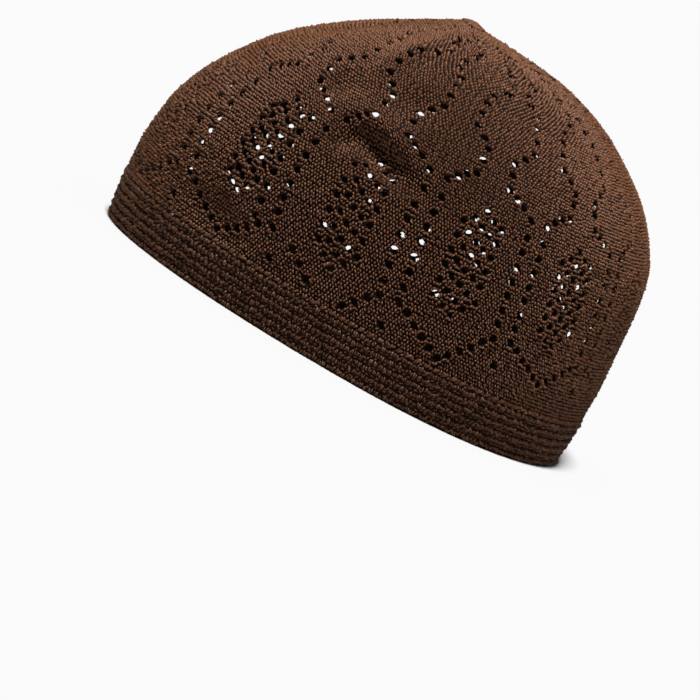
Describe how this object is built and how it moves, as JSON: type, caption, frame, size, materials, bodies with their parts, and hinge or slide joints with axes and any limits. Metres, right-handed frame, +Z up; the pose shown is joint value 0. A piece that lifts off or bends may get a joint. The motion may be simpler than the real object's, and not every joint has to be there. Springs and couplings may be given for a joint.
{
  "type": "knit kufi cap",
  "caption": "Brimless rounded cap knitted in openwork, with a ribbed edge band, a pierced domed crown and a small gathered tip.",
  "frame": {"origin": "in the plane of the rim, midway between the front and the back", "axes": "+Z up from the rim to the apex, -Y to the forehead, +Y to the back of the head, +X to the wearer's left"},
  "size_m": [0.159, 0.2069, 0.1362],
  "materials": {
    "crown_yarn": "matt brown knitted yarn with a faint sheen",
    "band_yarn": "matt brown ribbed knit"
  },
  "bodies": {
    "root": {"band": "band_yarn", "crown": "crown_yarn", "gathered_tip": "crown_yarn"}
  },
  "joints": []
}
